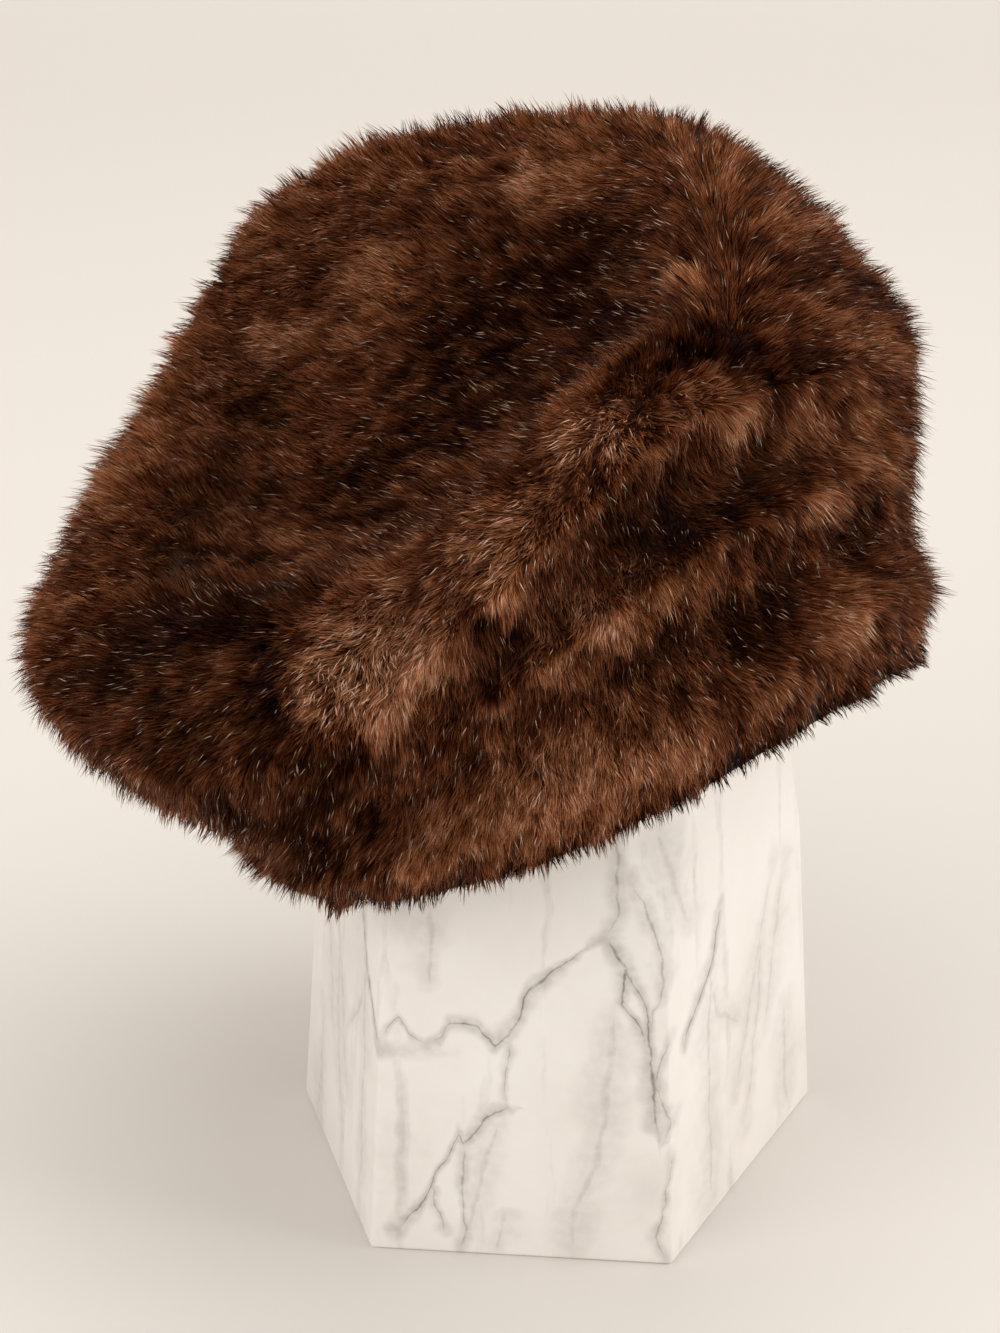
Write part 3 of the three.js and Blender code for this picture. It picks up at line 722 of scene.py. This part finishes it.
def grow(names, skin, kind, count, seed, material):
    """Hairs as narrow pointed ribbons, rooted in the wool and bunched at their tips. They are cut
    into pieces round the hat with an equal number of hairs each."""
    rng = np.random.default_rng(seed)
    steps = kind["steps"]
    i, j, fi, fj = roots_on(skin["points"], skin["denser"], count, rng)
    j2 = (j + 1) % len(DEGREES)

    def read(key):
        grid = skin[key].reshape(*skin[key].shape[:2], -1)
        low = grid[i, j] * (1 - fj) + grid[i, j2] * fj
        high = grid[i + 1, j] * (1 - fj) + grid[i + 1, j2] * fj
        return low * (1 - fi) + high * fi

    root, even, normal, lay = (read(key) for key in ("points", "even", "normals", "flow"))
    normal, lay = unit(normal), unit(lay)
    light, relief, depth = read("light")[:, 0], read("relief")[:, 0], read("depth")
    side = unit(np.cross(lay, normal))

    # each hair's own lay, length and lift, over small tufts with gaps between them
    swirl = SWIRL * Waves(31, 11).at(root) + STRAY * rng.normal(size=count)
    lay = unit(lay * np.cos(swirl)[:, None] + side * np.sin(swirl)[:, None])
    tufted = Waves(32, 9).streaks(root, lay, 7)
    # hairs with a painted glint, and how strongly it is painted
    pale = np.where(rng.random(count) < kind["pale"], rng.uniform(0.4, 1.0, count), 0.0)
    reach = rng.uniform(*kind["reach"], count) * read("length")[:, 0] * (
        1 + OPEN_REACH * np.clip(light, 0, 1))
    lift = relief + TUFTING * tufted + rng.uniform(*kind["lift"], count)
    t = steps[None, :, None]
    along = reach[:, None, None] * (0.45 * t + 0.55 * t ** 2)
    climb = (depth + lift[:, None])[:, None] * (1 - (1 - t) ** CLIMB)
    spine = (root - even * depth)[:, None] + lay[:, None] * along + normal[:, None] * climb
    for spacing, pull, power in kind["bunches"]:
        spine = bunch(spine, root, steps, spacing, pull, power, rng)

    # ribbons of pairs of points and a tip, each rolled a little out of the surface
    tangent = unit(np.gradient(spine, axis=1))
    flat = unit(np.cross(tangent, normal[:, None]))
    roll = rng.uniform(-ROLL, ROLL, count)[:, None, None]
    flat = flat * np.cos(roll) + unit(np.cross(flat, tangent)) * np.sin(roll)
    half = kind["width"] / 2 * rng.uniform(0.75, 1.2, count) * np.where(pale > 0, GLINT_WIDTH, 1)
    half = half[:, None, None] * (1 - TAPER * t[:, :-1])
    body = spine[:, :-1]
    pairs = np.stack([body - flat[:, :-1] * half, body + flat[:, :-1] * half], 2)
    size = 2 * len(steps) - 1
    ribbon = to_world(np.concatenate([pairs.reshape(count, size - 1, 3), spine[:, -1:]], 1))

    # how light each hair is: its kind, the broad patches of tone and painted shading and the tufts
    # it stands in, painted shade in the low places between small tufts and painted light where the
    # fur rises, streaks along the lay 6 mm and 30 mm wide, and its own chance
    streak = 0.11 * Waves(33, 6).streaks(root, lay, 8)
    patch = 0.05 * Waves(34, 30).streaks(root, lay, 24)
    tone = np.clip(kind["tone"] + 1.1 * light + 0.015 * relief + 0.05 * tufted + streak + patch +
                   0.17 * rng.normal(size=count), 0, 1)

    # each ribbon is a chain of four-sided faces that ends in a three-sided one
    order = np.argsort((j - np.searchsorted(DEGREES, 315)) % len(DEGREES), kind="stable")
    fours = len(steps) - 2
    corner = [2 * k + c for k in range(fours) for c in (0, 1, 3, 2)]
    corner = np.array(corner + [2 * fours, 2 * fours + 1, 2 * fours + 2])
    first = 4 * np.arange(fours + 1)
    share = np.append(np.repeat(steps[:-1], 2), 1.0)
    for name, part in zip(names, np.array_split(order, len(names))):
        base = np.arange(len(part))[:, None]
        piece = mesh_piece(name, ribbon[part].reshape(-1, 3), (base * size + corner).ravel(),
                           (base * len(corner) + first).ravel(), material)
        set_value(piece, "reach", np.tile(share, len(part)))
        set_value(piece, "tone", np.repeat(tone[part], size))
        set_value(piece, "glint", np.repeat(pale[part], size))
        # each hair has a small cell of the OFBake map, from its root to its tip
        cells = math.ceil(math.sqrt(len(part)))
        u = np.append(np.tile([0.25, 0.75], len(steps) - 1), 0.5)[corner]
        v = (0.15 + 0.7 * share)[corner]
        uv = np.stack([(base % cells + u) / cells, (base // cells + v) / cells], -1)
        bake_map(piece, uv.reshape(-1, 2))


def leather_grid(inset, degrees, places):
    """The crown's leather in the hat's frame: the rings that lie under the fur's, sunk by its
    depth, with the folds half as deep, down to the top of the band."""
    rings = [np.tile([0.0, CROWN_MIDDLE], (len(degrees), 1))]
    rings += [ring_at(k, degrees) for k in range(SEAM + 1)]
    rows = []
    for k, (fur, out, up) in enumerate(LEATHER_RINGS):
        straight = rings[3] + (rings[6] - rings[3]) * (k - 3) / 3
        at = (straight + rings[k]) / 2 if k > 3 else rings[k]
        sunk = fur + inset - 0.5 * fold_relief(degrees, [k])[0]
        rows.append(at + sunk[:, None] * [out, up])
    rows.append(np.stack([np.full(len(degrees), LEATHER_RADIUS - inset),
                          rings[6][:, 1] + LEATHER_GAP], 1))
    half = len(degrees) // 2
    return sheet_points(rows, np.roll(rows[1], half, 0) * [-1, 1], places, degrees)


def leather_pieces(material):
    """The pelts' leather inside the fur: a slack bag for the crown and a ring for the band."""
    degrees, places = DEGREES[::6], np.linspace(0, CROWN_LAST, 37)
    outer, inner = (to_world(leather_grid(inset, degrees, places))
                    for inset in (LEATHER_INSET, LEATHER_INSET + LEATHER))
    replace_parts(wall_piece("crown_leather", outer, inner, material, None, True),
                "crown_shell")
    turn = np.radians(degrees)
    top = ring_at(SEAM, degrees)[:, 1] - LEATHER_GAP
    low = ring_at(HEM, degrees)[:, 1] + HEM_DEPTH
    walls = []
    for radius in (LEATHER_RADIUS, LEATHER_RADIUS - LEATHER):
        walls.append(np.array([
            np.stack([radius * np.cos(turn), radius * np.sin(turn), top + (low - top) * f], -1)
            for f in np.linspace(0, 1, 6)]))
    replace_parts(wall_piece("band_leather", to_world(walls[0]), to_world(walls[1]), material,
                           None, False), "band_shell")


def marble_piece(material):
    """The block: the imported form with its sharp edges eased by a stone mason's rounding."""
    bpy.ops.object.select_all(action="DESELECT")
    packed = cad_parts["stand"]
    mesh = packed.data.copy()
    mesh.transform(packed.matrix_world)
    block = bpy.data.objects.new("marble_block", mesh)
    scene.collection.objects.link(block)
    bpy.context.view_layer.objects.active = block
    block.select_set(True)
    bpy.ops.object.mode_set(mode="EDIT")
    bpy.ops.mesh.select_all(action="SELECT")
    bpy.ops.mesh.remove_doubles(threshold=1e-5)
    bpy.ops.mesh.dissolve_limited(angle_limit=math.radians(0.5))
    bpy.ops.object.mode_set(mode="OBJECT")
    eased = block.modifiers.new("eased_edges", "BEVEL")
    eased.width = 1.6 * MM
    eased.segments = 4
    bpy.ops.object.modifier_apply(modifier="eased_edges")
    bpy.ops.object.shade_smooth_by_angle(angle=math.radians(25))
    block.data.materials.clear()
    block.data.materials.append(material)
    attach(block, "root")
    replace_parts(block, "stand")


down, guard = down_hair(), guard_hair()
wool = under_wool()
under_piece("crown_underfur", crown, (4, 4), wool, "crown_fur", True)
under_piece("band_underfur", band, (3, 4), wool, "band_fur", False)
grow(["crown_down_right", "crown_down_back", "crown_down_left", "crown_down_front"],
     crown, DOWN, 540000, 21, down)
grow(["band_down"], band, DOWN, 130000, 22, down)
grow(["crown_guard_hair"], crown, GUARD, 60000, 23, guard)
grow(["band_guard_hair"], band, GUARD, 15000, 24, guard)
leather_pieces(suede())
marble_piece(veined_marble())


# ---------------------------------------------------------------- floor


FLOOR_WIDTH, FLOOR_FRONT, FLOOR_BACK, WALL_HEIGHT, BEND = 14, -7, 2.2, 4, 1.0     # metres


def select_edges(mesh, wanted):
    """Leaves edit mode with only the edges selected whose two points are wanted."""
    bpy.ops.object.mode_set(mode="EDIT")
    bpy.ops.mesh.select_mode(type="EDGE")
    bpy.ops.mesh.select_all(action="DESELECT")
    bpy.ops.object.mode_set(mode="OBJECT")
    for edge in mesh.edges:
        edge.select = all(wanted(mesh.vertices[k].co) for k in edge.vertices)


def sweep_floor():
    """A seamless sweep of matt paper: floor, bend and back wall."""
    bpy.ops.object.select_all(action="DESELECT")
    bpy.ops.mesh.primitive_plane_add(size=1, location=(0, 0, 0))
    floor = bpy.context.object
    floor.name = "paper_sweep"
    mesh = floor.data
    for v in mesh.vertices:
        v.co.x *= FLOOR_WIDTH
        v.co.y = FLOOR_FRONT if v.co.y < 0 else FLOOR_BACK
    select_edges(mesh, lambda co: co.y > 0)
    bpy.ops.object.mode_set(mode="EDIT")
    bpy.ops.mesh.extrude_region_move(TRANSFORM_OT_translate={"value": (0, 0, WALL_HEIGHT)})
    bpy.ops.object.mode_set(mode="OBJECT")
    select_edges(mesh, lambda co: co.y > 0 and co.z < WALL_HEIGHT / 2)
    bpy.ops.object.mode_set(mode="EDIT")
    bpy.ops.mesh.bevel(offset=BEND, segments=16, affect="EDGES")
    bpy.ops.object.mode_set(mode="OBJECT")
    bpy.ops.object.shade_smooth()
    material, _, shader = new_material("matt_paper", Roughness=0.95)
    shader.inputs["Base Color"].default_value = linear("#ebe6e0")
    floor.data.materials.append(material)


sweep_floor()
